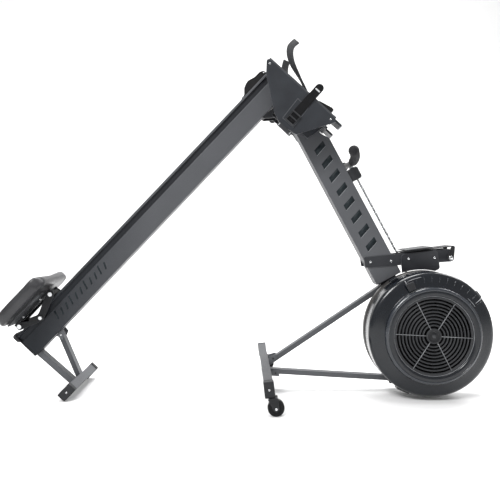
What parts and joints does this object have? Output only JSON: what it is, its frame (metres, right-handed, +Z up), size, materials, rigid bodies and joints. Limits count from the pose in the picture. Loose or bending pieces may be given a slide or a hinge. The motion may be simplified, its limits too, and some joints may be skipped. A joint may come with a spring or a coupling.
{
  "type": "rowing machine",
  "caption": "Folded air-resistance rowing machine: hinged rail with sliding seat, front beam with flywheel housing, handle, footrests and casters.",
  "frame": {"origin": "on the floor under the middle of the bounding box", "axes": "+Z up, +X toward the flywheel, +Y to the rower left"},
  "size_m": [1.6491, 0.5104, 1.205],
  "materials": {
    "paint": "satin charcoal powder coat",
    "steel": "bright machined steel",
    "aluminium": "cast and machined",
    "plastic": "fine-textured moulding",
    "gloss": "polished moulding",
    "rubber": "matte moulded rubber",
    "foam": "closed-cell grip foam",
    "webbing": "woven nylon webbing",
    "pad": "moulded seat foam with a skin"
  },
  "bodies": {
    "front_frame": {"beam_hinge_bracket": "paint", "hinge_pin": "steel", "main_beam": "paint", "handle_rest": "plastic", "head_column": "paint", "hanger_bracket": "paint", "axle_frame": "paint", "housing_back_shell": "plastic", "housing_front_cover": "gloss", "vent_grille": "plastic", "flywheel_axle": "steel", "chain": "steel", "return_cord": "rubber", "footrest_panel_right": "plastic", "footplate_right": "plastic", "outer_strap_right": "webbing", "inner_strap_right": "webbing", "front_foot_cap_right": "rubber", "caster_fork_right": "plastic", "footrest_panel_left": "plastic", "footplate_left": "plastic", "outer_strap_left": "webbing", "inner_strap_left": "webbing", "front_foot_cap_left": "rubber", "caster_fork_left": "plastic", "front_leg_upper": "paint", "front_leg_lower": "paint", "front_foot_bar": "paint"},
    "rail": {"rail_hinge_bracket": "paint", "rail_beam": "paint", "running_strip": "steel", "front_stop": "rubber", "rail_end_cap": "plastic", "rear_post": "paint", "rear_strut": "paint", "rear_foot_bar": "paint", "rear_foot_cap_right": "rubber", "rear_foot_cap_left": "rubber"},
    "seat": {"seat_pad": "pad", "seat_base": "paint", "carriage_plate_right": "paint", "carriage_plate_left": "paint", "roller_axle_front": "steel", "roller_axle_rear": "steel"},
    "side_roller_right": {"side_roller_right": "rubber"},
    "side_roller_left": {"side_roller_left": "rubber"},
    "top_roller_front": {"top_roller_front": "rubber"},
    "top_roller_rear": {"top_roller_rear": "rubber"},
    "flywheel": {"flywheel": "aluminium"},
    "sprocket": {"sprocket": "steel"},
    "handle": {"handle_bar": "paint", "handle_grip_right": "foam", "handle_grip_left": "foam"},
    "damper_lever": {"damper_lever": "plastic"},
    "monitor_arm": {"monitor_arm": "paint"},
    "lock_knob": {"lock_knob": "plastic"},
    "foot_pad_right": {"foot_pad_right": "rubber"},
    "foot_pad_left": {"foot_pad_left": "rubber"},
    "caster_wheel_right": {"caster_wheel_right": "rubber"},
    "caster_wheel_left": {"caster_wheel_left": "rubber"}
  },
  "joints": [
    {"name": "fold_hinge", "type": "hinge", "parent": "front_frame", "child": "rail", "pos_m": [0.12046, 0, 0.9778], "axis": [0, 1, 0], "range_deg": [0, 129.5]},
    {"name": "seat_slide", "type": "slide", "parent": "rail", "child": "seat", "axis": [0.6884, 0, 0.7254], "range_m": [0, 0.78]},
    {"name": "top_roller_front_turn", "type": "hinge", "parent": "seat", "child": "top_roller_front", "pos_m": [-0.66353, 0, 0.33905], "axis": [0, 1, 0], "range_deg": [0, 3700]},
    {"name": "top_roller_rear_turn", "type": "hinge", "parent": "seat", "child": "top_roller_rear", "pos_m": [-0.76954, 0, 0.22734], "axis": [0, 1, 0], "range_deg": [0, 3700]},
    {"name": "side_roller_right_turn", "type": "hinge", "parent": "seat", "child": "side_roller_right", "pos_m": [-0.69796, 0, 0.2573], "axis": [0, 1, 0], "continuous": true},
    {"name": "side_roller_left_turn", "type": "hinge", "parent": "seat", "child": "side_roller_left", "pos_m": [-0.69796, 0, 0.2573], "axis": [0, 1, 0], "continuous": true},
    {"name": "handle_pull", "type": "slide", "parent": "front_frame", "child": "handle", "axis": [-0.1219, 0, 0.9925], "range_m": [0, 1.2], "stiffness_N_per_m": 8, "springref_m": -1.5},
    {"name": "sprocket_turn", "type": "hinge", "parent": "front_frame", "child": "sprocket", "pos_m": [0.61978, 0, 0.21799], "axis": [0, 1, 0], "range_deg": [-2300, 0]},
    {"name": "flywheel_spin", "type": "hinge", "parent": "front_frame", "child": "flywheel", "pos_m": [0.61978, 0, 0.21799], "axis": [0, 1, 0], "continuous": true},
    {"name": "damper_turn", "type": "hinge", "parent": "front_frame", "child": "damper_lever", "pos_m": [0.61978, 0, 0.21799], "axis": [0, 1, 0], "range_deg": [0, 60]},
    {"name": "monitor_tilt", "type": "hinge", "parent": "front_frame", "child": "monitor_arm", "pos_m": [0.72054, 0, 0.4641], "axis": [0, 1, 0], "range_deg": [0, 150]},
    {"name": "lock_knob_pull", "type": "slide", "parent": "front_frame", "child": "lock_knob", "axis": [0, 1, 0], "range_m": [0, 0.012], "stiffness_N_per_m": 400, "springref_m": -0.005},
    {"name": "foot_pad_right_slide", "type": "slide", "parent": "front_frame", "child": "foot_pad_right", "axis": [-0.7412, 0, 0.6713], "range_m": [0, 0.03]},
    {"name": "caster_right_spin", "type": "hinge", "parent": "front_frame", "child": "caster_wheel_right", "pos_m": [0.10139, 0, 0.02538], "axis": [0, 1, 0], "continuous": true},
    {"name": "foot_pad_left_slide", "type": "slide", "parent": "front_frame", "child": "foot_pad_left", "axis": [-0.7412, 0, 0.6713], "range_m": [0, 0.03]},
    {"name": "caster_left_spin", "type": "hinge", "parent": "front_frame", "child": "caster_wheel_left", "pos_m": [0.10139, 0, 0.02538], "axis": [0, 1, 0], "continuous": true}
  ],
  "couplings": [
    {"joint": "top_roller_front_turn", "follows": "seat_slide", "rad_per_m": 81.967},
    {"joint": "top_roller_rear_turn", "follows": "seat_slide", "rad_per_m": 81.967},
    {"joint": "sprocket_turn", "follows": "handle_pull", "rad_per_m": -33.333}
  ]
}
